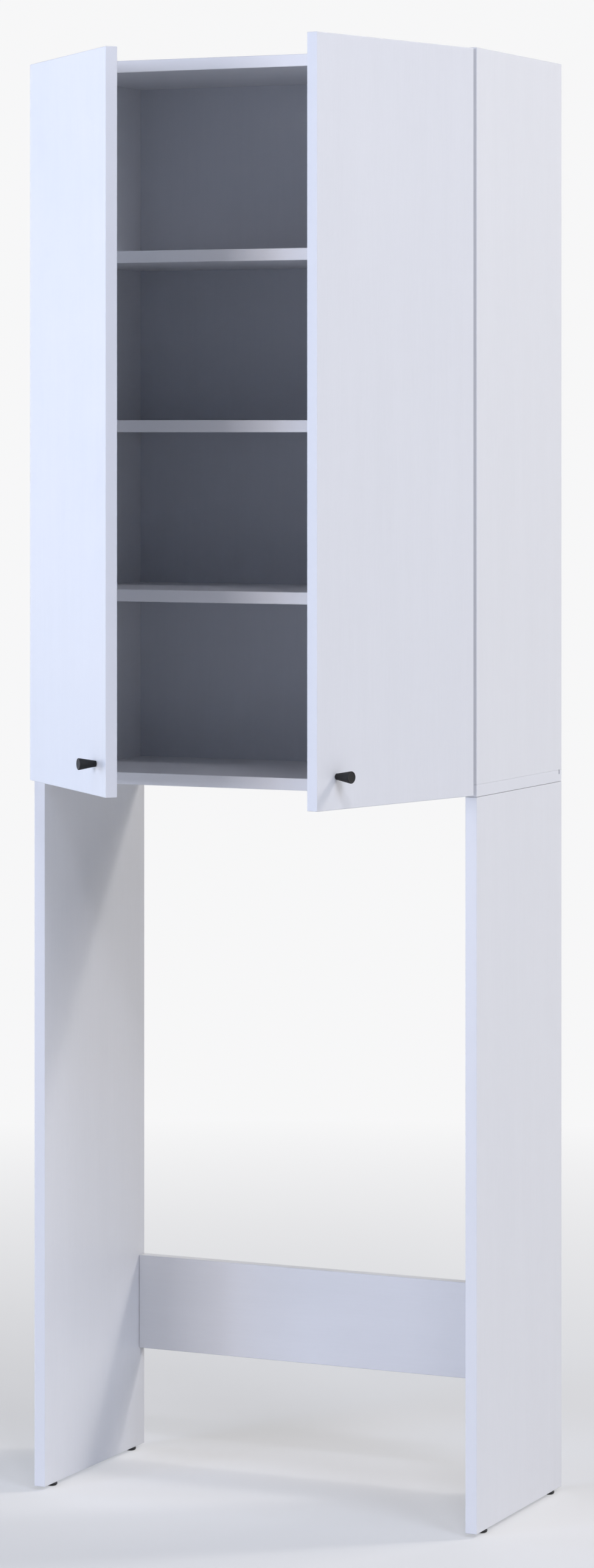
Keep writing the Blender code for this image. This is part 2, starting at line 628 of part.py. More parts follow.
def make_arm(name, side_panel, door_side, z, root):
    """The fixed half of a hinge: pin, arm, mounting plate and their screws."""
    outline = [to_cabinet(door_side, u, v, z)[:2] for u, v in arm_outline()]
    arm = slab(name + "_arm", outline, ARM_WIDTH, "nickel_steel", root, (0.0, 0.0, z))
    inner = ARM_WIDTH / 2 - ARM_SHEET
    shoulder = -DOOR_STANDOFF - ARM_SETBACK
    corner_a = to_cabinet(door_side, ARM_BASE - OVERRUN, shoulder - ARM_SHOULDER, z - inner)
    corner_b = to_cabinet(door_side, ARM_TOP - ARM_SHEET, shoulder - ARM_LENGTH - OVERRUN, z + inner)
    low = [min(a, b) for a, b in zip(corner_a, corner_b)]
    high = [max(a, b) for a, b in zip(corner_a, corner_b)]
    channel = box(name + "_channel", low, high, "nickel_steel", root)
    combine(arm, channel, "DIFFERENCE")
    pin_place = to_cabinet(door_side, PIVOT_U, PIVOT_V, z)
    cylinder(name + "_pin", PIN_RADIUS, PIN_LENGTH, PIN_STEPS, "nickel_steel", root, pin_place)
    eye = cylinder(name + "_eye_hole", PIN_RADIUS + PIN_GAP, ARM_WIDTH + 2 * OVERRUN, PIN_STEPS,
                   "nickel_steel", root, pin_place)
    combine(arm, eye, "DIFFERENCE")
    plate = make_plate(name, side_panel, door_side, z, root)
    out_of_side = (0.0, -door_side * math.pi / 2, 0.0)
    v = -DOOR_STANDOFF - PLATE_FROM_FRONT
    head = to_cabinet(door_side, ARM_TOP + JOINT_GAP, v, z)
    length = ARM_TOP + JOINT_GAP - (BOARD - DOOR_SIDE_REVEAL) - 2 * JOINT_GAP
    make_screw(name + "_clamp_screw", length, "zinc_screw", root, head, out_of_side)
    pilot_hole(name + "_arm_slot", arm, ARM_SHEET + OVERRUN, root, head, out_of_side)
    pilot_hole(name + "_plate_thread", plate, length + OVERRUN, root, head, out_of_side)


def make_plate(name, side_panel, door_side, z, root):
    """The cross-shaped mounting plate, screwed to the inside of the side panel."""
    half_length = PLATE_LENGTH / 2
    half_bar = ARM_WIDTH / 2
    half_nose = PLATE_NOSE_WIDTH / 2
    half_wing = PLATE_WING_WIDTH / 2
    half_span = PLATE_WING_LENGTH / 2
    cross = rounded([
        (-half_length, -half_nose, PLATE_ROUND / 2),
        (-half_wing, -half_bar, 0.0),
        (-half_wing, -half_span, PLATE_ROUND),
        (half_wing, -half_span, PLATE_ROUND),
        (half_wing, -half_bar, 0.0),
        (half_length, -half_nose, PLATE_ROUND / 2),
        (half_length, half_nose, PLATE_ROUND / 2),
        (half_wing, half_bar, 0.0),
        (half_wing, half_span, PLATE_ROUND),
        (-half_wing, half_span, PLATE_ROUND),
        (-half_wing, half_bar, 0.0),
        (-half_length, half_nose, PLATE_ROUND / 2),
    ])
    inner_face = BOARD - DOOR_SIDE_REVEAL
    v = -DOOR_STANDOFF - PLATE_FROM_FRONT
    middle = to_cabinet(door_side, inner_face + JOINT_GAP + PLATE_THICKNESS / 2, v, z)
    lying = (math.pi / 2, 0.0, math.pi / 2)
    plate = slab(name + "_plate", cross, PLATE_THICKNESS, "nickel_steel", root, middle, lying)
    out_of_side = (0.0, -door_side * math.pi / 2, 0.0)
    head_u = inner_face + 2 * JOINT_GAP + PLATE_THICKNESS
    for word, up in (("top", 1), ("bottom", -1)):
        place_at = to_cabinet(door_side, head_u, v, z + up * PLATE_SCREW_SPACING / 2)
        make_screw(f"{name}_plate_screw_{word}", SCREW_GRIP, "zinc_screw", root, place_at, out_of_side)
        pilot_hole(f"{name}_plate_hole_{word}", plate, PLATE_THICKNESS + OVERRUN, root, place_at,
                   out_of_side)
        pilot_hole(f"{name}_side_pilot_{word}", side_panel, SCREW_GRIP + JOINT_GAP, root, place_at,
                   out_of_side)
    return plate


def build():
    middle_x, middle_y = plan_middle()
    root = bpy.data.objects.new("cabinet_root", None)
    root.location = (-middle_x, -middle_y, 0.0)
    MODEL.objects.link(root)
    boards = make_carcass(root)
    for hand, door_side, angle in (("right", 1, RIGHT_DOOR_ANGLE), ("left", -1, LEFT_DOOR_ANGLE)):
        make_door(hand, door_side, angle, root)
        for word, z in (("lower", DOOR_BASE + HINGE_FROM_DOOR_END),
                        ("upper", DOOR_BASE + DOOR_HEIGHT - HINGE_FROM_DOOR_END)):
            make_arm(f"hinge_{word}_{hand}", boards[hand], door_side, z, root)


clear_scene()
MODEL = collection("over_washer_cabinet")
CUTTERS = collection("cutters")
build()
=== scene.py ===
"""Looks of a tall two-door cabinet that stands over a washing machine.

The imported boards, hinges and knobs keep their places. This file gives every board its
melamine finish and edge bands, turns the knobs, glides and screws as smooth surfaces, softens
the pressed steel of the hinges, and adds the floor, the light and the camera.
"""

import json
import math

import bmesh
import bpy
import numpy as np
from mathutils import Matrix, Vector


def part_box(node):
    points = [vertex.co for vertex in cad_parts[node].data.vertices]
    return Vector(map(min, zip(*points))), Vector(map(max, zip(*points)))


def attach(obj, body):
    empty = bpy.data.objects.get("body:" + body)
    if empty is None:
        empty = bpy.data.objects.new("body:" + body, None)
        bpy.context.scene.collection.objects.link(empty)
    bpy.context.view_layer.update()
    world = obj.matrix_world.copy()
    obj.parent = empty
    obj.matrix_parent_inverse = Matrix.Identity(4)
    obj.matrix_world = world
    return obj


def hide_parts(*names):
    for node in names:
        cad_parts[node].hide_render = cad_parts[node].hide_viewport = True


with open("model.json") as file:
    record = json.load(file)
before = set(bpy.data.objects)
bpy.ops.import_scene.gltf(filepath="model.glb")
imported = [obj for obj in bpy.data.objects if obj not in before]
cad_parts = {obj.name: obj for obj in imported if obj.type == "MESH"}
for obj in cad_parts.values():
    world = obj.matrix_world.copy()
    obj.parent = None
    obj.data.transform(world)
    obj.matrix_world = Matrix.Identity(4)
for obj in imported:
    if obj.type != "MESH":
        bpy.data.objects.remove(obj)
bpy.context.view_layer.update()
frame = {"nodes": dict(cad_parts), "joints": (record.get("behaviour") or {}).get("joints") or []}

# All lengths are in metres. The boards' packed chamfer, the round on its borders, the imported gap
# between two pieces, the distance that counts as level, and the one within which corners are one
CHAMFER = 0.0006
ARRIS_ROUND = 0.00024
JOINT_GAP = 0.0003
FLAT = 0.00002
SAME_PLACE = 0.000005

# Neighbouring faces that meet at less than the first angle are one face, and edges that turn by
# more than the others stay sharp on boards, turned pieces and pressed steel
SAME_FACE = math.radians(1.0)
BOARD_CREASE = math.radians(30)
TURNED_CREASE = math.radians(38)
STEEL_CREASE = math.radians(40)

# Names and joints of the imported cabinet
SIDES = ("left", "right")
ENDS = ("front", "rear")
HINGES = [(f"hinge_{level}_{side}", side) for side in SIDES for level in ("lower", "upper")]
DOOR_JOINTS = {joint["child"]: joint for joint in frame["joints"]}

FULL_TURN = 2 * math.pi
QUARTER = math.pi / 2


def box_of(node):
    """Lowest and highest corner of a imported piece, as arrays."""
    low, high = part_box(node)
    return np.array(low, float), np.array(high, float)


def corners_of(mesh):
    """A mesh's corners, one to a row."""
    points = np.empty(len(mesh.vertices) * 3)
    mesh.vertices.foreach_get("co", points)
    return points.reshape(-1, 3)


def open_turn(side):
    """The turn about Z at which a packed door stands open, from its joint's way back to closed."""
    angle = math.radians(abs(DOOR_JOINTS["door_" + side]["range_deg"][0]))
    return angle * (1 if side == "right" else -1)


def door_way(side):
    """Unit vector out of the door's front, with the door as it stands open."""
    turn = open_turn(side)
    return np.array([math.sin(turn), -math.cos(turn), 0.0])


def turned_back(turn):
    """Matrix that takes plan coordinates back by a turn about Z."""
    return np.array([[math.cos(turn), math.sin(turn)], [-math.sin(turn), math.cos(turn)]])


def into_scene(name, data):
    """A new object of that name in the scene."""
    thing = bpy.data.objects.new(name, data)
    bpy.context.scene.collection.objects.link(thing)
    return thing


def stand_in(piece, node, body):
    """Lets a piece take a packed one's place: it rides on the body, and the packed one is hidden."""
    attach(piece, body)
    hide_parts(node)


# Node helpers

VALUE, VECTOR, COLOUR = "NodeSocketFloat", "NodeSocketVector", "NodeSocketColor"


def put(tree, kind, inputs=None, **settings):
    """Adds a shader node. Inputs are plain values or sockets to join on, by name or number."""
    node = tree.nodes.new(kind)
    for key, value in settings.items():
        setattr(node, key, value)
    for key, value in (inputs or {}).items():
        socket = node.inputs[key]
        if isinstance(value, bpy.types.NodeSocket):
            tree.links.new(value, socket)
        else:
            socket.default_value = value
    return node


def math_node(tree, operation, *values, clamp=False):
    """One step of arithmetic on plain values or sockets."""
    node = put(tree, "ShaderNodeMath", dict(enumerate(values)), operation=operation)
    node.use_clamp = clamp
    return node.outputs[0]


def vector_node(tree, operation, *vectors):
    """One step of arithmetic on vectors."""
    return put(tree, "ShaderNodeVectorMath", dict(enumerate(vectors)), operation=operation).outputs[0]


def remap(tree, value, low, high, new_low, new_high):
    """Carries a value from one range to another and holds it there."""
    node = put(tree, "ShaderNodeMapRange", {
        "Value": value, "From Min": low, "From Max": high, "To Min": new_low, "To Max": new_high})
    return node.outputs["Result"]


def spread(tree, pattern, least, most):
    """Carries the middle of a noise pattern, from 0.3 to 0.7, to the range given."""
    return remap(tree, pattern, 0.3, 0.7, least, most)


def noise(tree, vector, scale, detail, roughness=0.5, distortion=0.0):
    """A noise pattern between 0 and 1 on the coordinates given."""
    node = put(tree, "ShaderNodeTexNoise", {
        "Vector": vector, "Scale": scale, "Detail": detail, "Roughness": roughness,
        "Distortion": distortion})
    return node.outputs["Fac"]


def stretched(tree, vector, scale):
    """Coordinates on which a pattern is drawn out along the axes whose scale is under one."""
    return put(tree, "ShaderNodeMapping", {"Vector": vector, "Scale": scale}).outputs[0]


def scaled(tree, colour, factor):
    """A colour times a factor."""
    return put(tree, "ShaderNodeVectorMath", {0: colour, "Scale": factor}, operation="SCALE").outputs[0]


def mix_colour(tree, factor, first, second):
    """Blend of two colours, as a socket."""
    return put(tree, "ShaderNodeMix", {0: factor, 6: first, 7: second}, data_type="RGBA").outputs[2]


def mix_value(tree, factor, first, second):
    """Blend of two values, as a socket."""
    return put(tree, "ShaderNodeMix", {0: factor, 2: first, 3: second}, data_type="FLOAT").outputs[0]


def group(name, inputs, outputs):
    """A shader node group with named sockets, and its two ends."""
    tree = bpy.data.node_groups.new(name, "ShaderNodeTree")
    for label, kind, value in inputs:
        socket = tree.interface.new_socket(label, in_out="INPUT", socket_type=kind)
        if value is not None:
            socket.default_value = value
    for label, kind in outputs:
        tree.interface.new_socket(label, in_out="OUTPUT", socket_type=kind)
    start = tree.nodes.new("NodeGroupInput").outputs
    end = tree.nodes.new("NodeGroupOutput").inputs
    return tree, start, end


def placed(tree, finish, **inputs):
    """The outputs of a finish's group, placed in a tree. Input names have _ for a space."""
    values = {key.replace("_", " "): value for key, value in inputs.items()}
    return put(tree, "ShaderNodeGroup", values, node_tree=finish).outputs


# Finishes as node groups

FINISH_OUTPUTS = [("Colour", COLOUR), ("Roughness", VALUE), ("Height", VALUE)]
ALONG_X = (0.06, 1.0, 1.0)
PORE_SCALE, BAND_SCALE, CLOUD_SCALE, PEEL_SCALE = 420.0, 38.0, 5.0, 900.0
PORE_RELIEF, PEEL_RELIEF = 0.6, 0.4


def melamine_group():
    """Paper-faced board: faint pores drawn out along X, a cloudy tint and a fine orange peel."""
    tree, start, end = group("melamine_face", [
        ("Vector", VECTOR, None), ("Colour", COLOUR, (0.8, 0.8, 0.8, 1.0)),
        ("Pore Strength", VALUE, 0.035), ("Cloud Strength", VALUE, 0.018),
        ("Rough Low", VALUE, 0.34), ("Rough High", VALUE, 0.44),
    ], FINISH_OUTPUTS)
    drawn = stretched(tree, start["Vector"], ALONG_X)
    pores = noise(tree, drawn, PORE_SCALE, detail=3.0, roughness=0.6)
    bands = noise(tree, drawn, BAND_SCALE, detail=2.0)
    cloud = noise(tree, start["Vector"], CLOUD_SCALE, detail=3.0, roughness=0.55)
    peel = noise(tree, start["Vector"], PEEL_SCALE, detail=2.0)
    pore_line = math_node(tree, "SUBTRACT", pores, 0.5)
    band_line = math_node(tree, "SUBTRACT", bands, 0.5)
    streak = math_node(tree, "ADD", pore_line, band_line)
    tint = math_node(tree, "MULTIPLY", streak, start["Pore Strength"])
    haze = math_node(tree, "MULTIPLY", math_node(tree, "SUBTRACT", cloud, 0.5), start["Cloud Strength"])
    factor = math_node(tree, "ADD", math_node(tree, "ADD", tint, haze), 1.0)
    height = math_node(tree, "ADD", math_node(tree, "MULTIPLY", pores, PORE_RELIEF),
                       math_node(tree, "MULTIPLY", peel, PEEL_RELIEF))
    tree.links.new(scaled(tree, start["Colour"], factor), end["Colour"])
    tree.links.new(spread(tree, cloud, start["Rough Low"], start["Rough High"]), end["Roughness"])
    tree.links.new(height, end["Height"])
    return tree


def edge_band_group():
    """Where a board's edge band is. Place runs from the board's middle, Half is half its size
    and Skip is large along its thickness, so only the banded edges count."""
    tree, start, end = group("edge_band", [
        ("Place", VECTOR, None), ("Half", VECTOR, (0.1, 0.1, 0.1)), ("Skip", VECTOR, (0.0, 0.0, 0.0)),
        ("Band", VALUE, 0.0008), ("Glue", VALUE, 0.00016),
    ], [("Band", VALUE), ("Glue Line", VALUE)])
    reach = vector_node(tree, "ABSOLUTE", start["Place"])
    inset = vector_node(tree, "SUBTRACT", start["Half"], reach)
    counted = vector_node(tree, "ADD", inset, start["Skip"])
    parts = put(tree, "ShaderNodeSeparateXYZ", {0: counted}).outputs
    nearest = math_node(tree, "MINIMUM", math_node(tree, "MINIMUM", parts[0], parts[1]), parts[2])
    band = math_node(tree, "LESS_THAN", nearest, start["Band"])
    off_line = math_node(tree, "ABSOLUTE", math_node(tree, "SUBTRACT", nearest, start["Band"]))
    share = math_node(tree, "DIVIDE", off_line, start["Glue"])
    line = math_node(tree, "SUBTRACT", 1.0, share, clamp=True)
    tree.links.new(band, end["Band"])
    tree.links.new(line, end["Glue Line"])
    return tree


SMEAR_SCALE, SMEAR_TWIST = 9.0, 1.2
# Between which two values of the pattern a smear fades in, and what it adds to roughness and colour
SMEAR_EDGE = (0.52, 0.72)
SMEAR_DULLS, SMEAR_DIMS = 0.07, -0.012


def handling_group():
    """Faint smears of handling: they change the gloss a little and the colour hardly at all."""
    tree, start, end = group("handling_smears", [
        ("Vector", VECTOR, None), ("Colour", COLOUR, (0.8, 0.8, 0.8, 1.0)), ("Roughness", VALUE, 0.4),
        ("Amount", VALUE, 0.5),
    ], [("Colour", COLOUR), ("Roughness", VALUE)])
    warp = noise(tree, start["Vector"], SMEAR_SCALE, detail=4.0, roughness=0.6, distortion=SMEAR_TWIST)
    smear = remap(tree, warp, *SMEAR_EDGE, 0.0, 1.0)
    amount = math_node(tree, "MULTIPLY", smear, start["Amount"])
    duller = math_node(tree, "MULTIPLY_ADD", amount, SMEAR_DULLS, start["Roughness"])
    dim = math_node(tree, "MULTIPLY_ADD", amount, SMEAR_DIMS, 1.0)
    tree.links.new(scaled(tree, start["Colour"], dim), end["Colour"])
    tree.links.new(duller, end["Roughness"])
    return tree


UP_AND_DOWN = (1.0, 1.0, 0.05)
FIBRE_SCALE, BROAD_FIBRE_SCALE = 150.0, 24.0
FIBRE_ROUGH = (0.42, 0.56)


def fibre_group():
    """Lacquered fibreboard: short pressed fibres, drawn out upright, under thin paint."""
    tree, start, end = group("fibreboard", [
        ("Vector", VECTOR, None), ("Colour", COLOUR, (0.7, 0.7, 0.7, 1.0)), ("Strength", VALUE, 0.05),
    ], FINISH_OUTPUTS)
    upright = stretched(tree, start["Vector"], UP_AND_DOWN)
    fibre = noise(tree, upright, FIBRE_SCALE, detail=4.0, roughness=0.65)
    broad = noise(tree, upright, BROAD_FIBRE_SCALE, detail=2.0)
    both = math_node(tree, "SUBTRACT", math_node(tree, "ADD", fibre, broad), 1.0)
    factor = math_node(tree, "MULTIPLY_ADD", both, start["Strength"], 1.0)
    tree.links.new(scaled(tree, start["Colour"], factor), end["Colour"])
    tree.links.new(spread(tree, fibre, *FIBRE_ROUGH), end["Roughness"])
    tree.links.new(fibre, end["Height"])
    return tree


DRAWN_STEEL = (0.08, 1.0, 1.0)
DRAWN_LINE_SCALE, BLOOM_SCALE = 2600.0, 70.0
PLATING_SHADES = (0.97, 1.02)


def plated_group():
    """Pressed steel under thin plating: drawn lines along X and a slightly uneven shine."""
    tree, start, end = group("plated_steel", [
        ("Vector", VECTOR, None), ("Colour", COLOUR, (0.66, 0.66, 0.64, 1.0)),
        ("Rough Low", VALUE, 0.18), ("Rough High", VALUE, 0.34),
    ], FINISH_OUTPUTS)
    drawn = stretched(tree, start["Vector"], DRAWN_STEEL)
    lines = noise(tree, drawn, DRAWN_LINE_SCALE, detail=2.0)
    bloom = noise(tree, start["Vector"], BLOOM_SCALE, detail=2.0)
    tree.links.new(scaled(tree, start["Colour"], spread(tree, bloom, *PLATING_SHADES)), end["Colour"])
    tree.links.new(spread(tree, bloom, start["Rough Low"], start["Rough High"]), end["Roughness"])
    tree.links.new(lines, end["Height"])
    return tree


RUBBED_SCALE = 240.0
RUBBED_SHADES = (0.88, 1.14)


def moulded_group():
    """Moulded plastic: a spark-eroded grain with a few lighter rubbed grains."""
    tree, start, end = group("moulded_grain", [
        ("Vector", VECTOR, None), ("Colour", COLOUR, (0.03, 0.03, 0.03, 1.0)),
        ("Grain Scale", VALUE, 1800.0), ("Rough Low", VALUE, 0.42), ("Rough High", VALUE, 0.56),
    ], FINISH_OUTPUTS)
    grain = put(tree, "ShaderNodeTexVoronoi", {"Vector": start["Vector"], "Scale": start["Grain Scale"]},
                feature="SMOOTH_F1")
    tone = noise(tree, start["Vector"], RUBBED_SCALE, detail=3.0)
    tree.links.new(scaled(tree, start["Colour"], spread(tree, tone, *RUBBED_SHADES)), end["Colour"])
    tree.links.new(spread(tree, tone, start["Rough Low"], start["Rough High"]), end["Roughness"])
    tree.links.new(grain.outputs["Distance"], end["Height"])
    return tree


MELAMINE = melamine_group()
EDGE_BAND = edge_band_group()
HANDLING = handling_group()
FIBRE = fibre_group()
PLATED = plated_group()
MOULDED = moulded_group()


# Materials

BOARD_WHITE = (0.720, 0.725, 0.742, 1.0)
BAND_WHITE = (0.715, 0.722, 0.744, 1.0)
GLUE_GREY = (0.52, 0.52, 0.53, 1.0)
# The back panel's colour is greyer and bluer than the boards': partly its own paint and partly painted shade
# of the cabinet's dim inside
FIBREBOARD_TONE_AND_SHADE = (0.60, 0.62, 0.67, 1.0)
CHARCOAL = (0.013, 0.013, 0.0138, 1.0)
BLACK = (0.022, 0.022, 0.023, 1.0)
NICKEL = (0.78, 0.77, 0.745, 1.0)
STEEL = (0.68, 0.68, 0.67, 1.0)
ZINC = (0.72, 0.735, 0.75, 1.0)
BOARD_GLOSS = 0.3
PLASTIC_GLOSS = 0.24
GLUE_SHOWS = 0.55
BAND_PORES = 0.006
BAND_ROUGH = (0.30, 0.36)
# How strong each finish's relief is, and how deep in metres
BOARD_RELIEF = (0.14, 0.0004)
FIBRE_RELIEF = (0.12, 0.0003)
STEEL_RELIEF = (0.05, 0.0001)
PLASTIC_RELIEF = (0.15, 0.0002)
AXES = {"x": (1.0, 0.0, 0.0), "y": (0.0, 1.0, 0.0), "z": (0.0, 0.0, 1.0)}
FAR_OFF = 10.0


def new_material(name):
    """An empty material with its shader, and the object coordinates that its patterns follow."""
    material = bpy.data.materials.new(name)
    material.use_nodes = True
    tree = material.node_tree
    shader = tree.nodes["Principled BSDF"]
    place = tree.nodes.new("ShaderNodeTexCoord").outputs["Object"]
    return material, tree, shader, place


def bump(tree, shader, height, relief):
    """Feeds a height pattern into the shader's normal."""
    strength, depth = relief
    bent = put(tree, "ShaderNodeBump", {"Height": height, "Strength": strength, "Distance": depth})
    tree.links.new(bent.outputs[0], shader.inputs["Normal"])


def board_material(name, middle, half, turn, thin_axis, grain_turn):
    """White board: melamine faces, and bands on the narrow edges with a hair of glue line.

    middle and turn carry the object's place into the board's own square axes, and grain_turn
    then lays the pores along the board's length.
    """
    material, tree, shader, place = new_material(name)
    square = put(tree, "ShaderNodeMapping", {
        "Vector": place, "Location": middle, "Rotation": (0.0, 0.0, turn)}, vector_type="TEXTURE").outputs[0]
    skip = tuple(FAR_OFF * part for part in AXES[thin_axis])
    band = placed(tree, EDGE_BAND, Place=square, Half=half, Skip=skip)
    along = put(tree, "ShaderNodeMapping", {"Vector": square, "Rotation": grain_turn}).outputs[0]
    face = placed(tree, MELAMINE, Vector=along, Colour=BOARD_WHITE)
    strip = placed(tree, MELAMINE, Vector=along, Colour=BAND_WHITE, Pore_Strength=BAND_PORES,
                   Rough_Low=BAND_ROUGH[0], Rough_High=BAND_ROUGH[1])
    colour = mix_colour(tree, band["Band"], face["Colour"], strip["Colour"])
    line = math_node(tree, "MULTIPLY", band["Glue Line"], GLUE_SHOWS)
    colour = mix_colour(tree, line, colour, GLUE_GREY)
    rough = mix_value(tree, band["Band"], face["Roughness"], strip["Roughness"])
    smears = placed(tree, HANDLING, Vector=square, Colour=colour, Roughness=rough)
    shader.inputs["Specular IOR Level"].default_value = BOARD_GLOSS
    tree.links.new(smears["Colour"], shader.inputs["Base Color"])
    tree.links.new(smears["Roughness"], shader.inputs["Roughness"])
    bump(tree, shader, face["Height"], BOARD_RELIEF)
    return material


def plain_material(name, finish, relief, fixed, **inputs):
    """A material with one finish all over. fixed goes to the shader's own sockets."""
    material, tree, shader, place = new_material(name)
    pattern = placed(tree, finish, Vector=place, **inputs)
    for label, value in fixed.items():
        shader.inputs[label].default_value = value
    tree.links.new(pattern["Colour"], shader.inputs["Base Color"])
    tree.links.new(pattern["Roughness"], shader.inputs["Roughness"])
    bump(tree, shader, pattern["Height"], relief)
    return material


def steel_material(name, colour, low, high):
    """Plated steel of the hinges and screws."""
    return plain_material(name, PLATED, STEEL_RELIEF, {"Metallic": 1.0},
                          Colour=colour, Rough_Low=low, Rough_High=high)


def plastic_material(name, colour, grain, low, high):
    """Moulded plastic of the knobs and glides."""
    return plain_material(name, MOULDED, PLASTIC_RELIEF, {"Specular IOR Level": PLASTIC_GLOSS},
                          Colour=colour, Grain_Scale=grain, Rough_Low=low, Rough_High=high)


def dress(node, material):
    """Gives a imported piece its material."""
    slots = frame["nodes"][node].data.materials
    slots.clear()
    slots.append(material)


# Boards

GRAIN_UP = (0.0, QUARTER, 0.0)
GRAIN_ACROSS = (0.0, 0.0, 0.0)
# How a board's ends are cut: which one is sawn square, -1 the lower and 1 the upper, and how far
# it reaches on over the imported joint's gap. A sawn end has no band, so its edge of the bands'
# outline is moved out past the board
SOFT_ENDS = (0, 0.0)
SIDE_FOOT = (-1, JOINT_GAP)
LEG_HEAD = (1, 0.0)
UNBANDED = 0.005
FIXED_BOARDS = {
    "side_panel_left": ("x", GRAIN_UP, SIDE_FOOT), "side_panel_right": ("x", GRAIN_UP, SIDE_FOOT),
    "leg_panel_left": ("x", GRAIN_UP, LEG_HEAD), "leg_panel_right": ("x", GRAIN_UP, LEG_HEAD),
    "bottom_panel": ("z", GRAIN_ACROSS, SOFT_ENDS), "top_panel": ("z", GRAIN_ACROSS, SOFT_ENDS),
    "shelf_lower": ("z", GRAIN_ACROSS, SOFT_ENDS), "shelf_middle": ("z", GRAIN_ACROSS, SOFT_ENDS),
    "shelf_upper": ("z", GRAIN_ACROSS, SOFT_ENDS), "rear_rail": ("y", GRAIN_ACROSS, SOFT_ENDS),
}


def door_frame(side):
    """The door's middle, half size and turn.

    Turned back about Z by the angle at which it stands open, the door's mesh lies square to the
    axes, and its lowest and highest corners there give the middle and the half size.
    """
    points = corners_of(frame["nodes"]["door_" + side].data)
    turn = open_turn(side)
    back = turned_back(turn)
    plan = points[:, :2] @ back.T
    low = np.array([*plan.min(axis=0), points[:, 2].min()])
    high = np.array([*plan.max(axis=0), points[:, 2].max()])
    centre = (low + high) / 2
    centre[:2] = centre[:2] @ back
    return centre, (high - low) / 2, turn


def merged_copy(node, name, cut=SOFT_ENDS):
    """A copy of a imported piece: its loose triangles joined to whole faces, with plain normals.

    Where cut names an end, that end's chamfers move into its own plane, and the plane reaches on.
    """
    sawn_end, reach = cut
    mesh = frame["nodes"][node].data.copy()
    mesh.name = name
    if sawn_end:
        points = corners_of(mesh)
        end = sawn_end * (points[:, 2] * sawn_end).max()
        points[np.abs(points[:, 2] - end) < CHAMFER + FLAT, 2] = end + sawn_end * reach
        mesh.vertices.foreach_set("co", points.reshape(-1))
    shape = bmesh.new()
    shape.from_mesh(mesh)
    bmesh.ops.remove_doubles(shape, verts=shape.verts, dist=SAME_PLACE)
    bmesh.ops.dissolve_limit(shape, angle_limit=SAME_FACE, verts=shape.verts, edges=shape.edges)
    bmesh.ops.recalc_face_normals(shape, faces=shape.faces)
    shape.to_mesh(mesh)
    shape.free()
    for label in ("custom_normal", "sharp_edge", "sharp_face"):
        if label in mesh.attributes:
            mesh.attributes.remove(mesh.attributes[label])
    return mesh


def finished(mesh, material, crease):
    """Gives a mesh its one material and smooth faces, with sharp edges past the crease angle."""
    mesh.materials.clear()
    mesh.materials.append(material)
    mesh.shade_smooth()
    mesh.set_sharp_from_angle(angle=crease)


def rounded_board(node, material, body, centre, half, turn, cut):
    """A merged copy of a packed board, whose chamfered arrises become round ones.

    A chamfer's border is where one distance to the board's own faces is nought and another is
    the chamfer's width: the bevel's weight is one on the edges that join two points of a border,
    and on those of the small corner facets, where all three distances are within that width.
    A sawn end, which butts against another board, stays sharp.
    """
    mesh = merged_copy(node, "board_" + node, cut)
    own = corners_of(mesh) - centre
    own[:, :2] = own[:, :2] @ turned_back(turn).T
    inset = half - np.abs(own)
    on_face = np.where(np.abs(inset) < FLAT, np.sign(own), 0)
    by_face = np.where(np.abs(inset - CHAMFER) < FLAT, np.sign(own), 0)
    at_corner = (inset < CHAMFER + FLAT).all(axis=1)
    if cut[0]:
        at_corner &= np.sign(own[:, 2]) != cut[0]
    ends = np.empty(len(mesh.edges) * 2, np.int32)
    mesh.edges.foreach_get("vertices", ends)
    a, b = ends[0::2], ends[1::2]
    same_face = ((on_face[a] == on_face[b]) & (on_face[a] != 0)).any(axis=1)
    same_border = ((by_face[a] == by_face[b]) & (by_face[a] != 0)).any(axis=1)
    round_off = (same_face & same_border) | (at_corner[a] & at_corner[b])
    weight = mesh.attributes.new("bevel_weight_edge", "FLOAT", "EDGE")
    weight.data.foreach_set("value", round_off.astype(np.float32))
    finished(mesh, material, BOARD_CREASE)
    board = into_scene("board_" + node, mesh)
    arris = board.modifiers.new("Arris", "BEVEL")
    arris.limit_method = "WEIGHT"
    arris.width = ARRIS_ROUND
    arris.segments = 2
    arris.use_clamp_overlap = False
    arris.harden_normals = True
    stand_in(board, node, body)


def make_boards():
    """All boards, each with bands on its own narrow edges."""
    for node, (thin_axis, grain, cut) in FIXED_BOARDS.items():
        low, high = box_of(node)
        centre, half = (low + high) / 2, (high - low) / 2
        past_end = np.array([0.0, 0.0, UNBANDED])
        banded_centre = centre + past_end * cut[0]
        banded_half = half + past_end * abs(cut[0])
        material = board_material("white_board_" + node, tuple(banded_centre), tuple(banded_half), 0.0,
                                  thin_axis, grain)
        rounded_board(node, material, "cabinet", centre, half, 0.0, cut)
    for side in SIDES:
        node = "door_" + side
        centre, half, turn = door_frame(side)
        material = board_material("white_board_" + node, tuple(centre), tuple(half), turn, "y", GRAIN_UP)
        rounded_board(node, material, node, centre, half, turn, SOFT_ENDS)
    # The back panel's darker, bluer colour is partly painted shade of the inside
    dress("back_panel", plain_material("fibreboard_with_painted_shade", FIBRE, FIBRE_RELIEF,
                                       {"Specular IOR Level": BOARD_GLOSS}, Colour=FIBREBOARD_TONE_AND_SHADE))


# Turned surfaces

